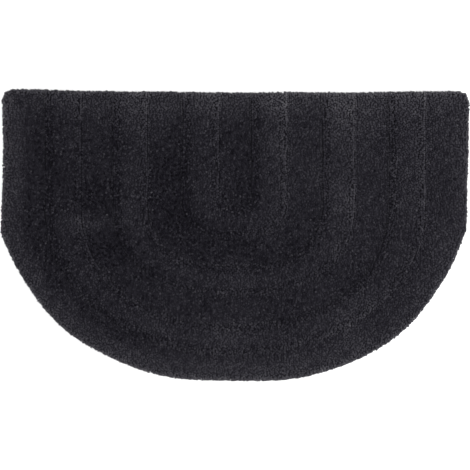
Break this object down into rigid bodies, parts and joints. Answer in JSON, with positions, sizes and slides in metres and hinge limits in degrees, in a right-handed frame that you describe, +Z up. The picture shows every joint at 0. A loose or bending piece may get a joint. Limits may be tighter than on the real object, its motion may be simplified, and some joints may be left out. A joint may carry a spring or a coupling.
{
  "type": "hooked rug",
  "caption": "Half-round flat rug of dense cut pile, sculpted in nested U-shaped bands of two heights, with one straight edge.",
  "frame": {"origin": "on the floor, under the middle of the rug's bounding box", "axes": "+X along the straight edge, +Y from the curved edge towards the straight one, +Z up through the pile"},
  "size_m": [0.7995, 0.4978, 0.0183],
  "materials": {
    "pile": "dense matt cut yarn pile, charcoal"
  },
  "bodies": {
    "root": {"rug": "pile"}
  },
  "joints": []
}
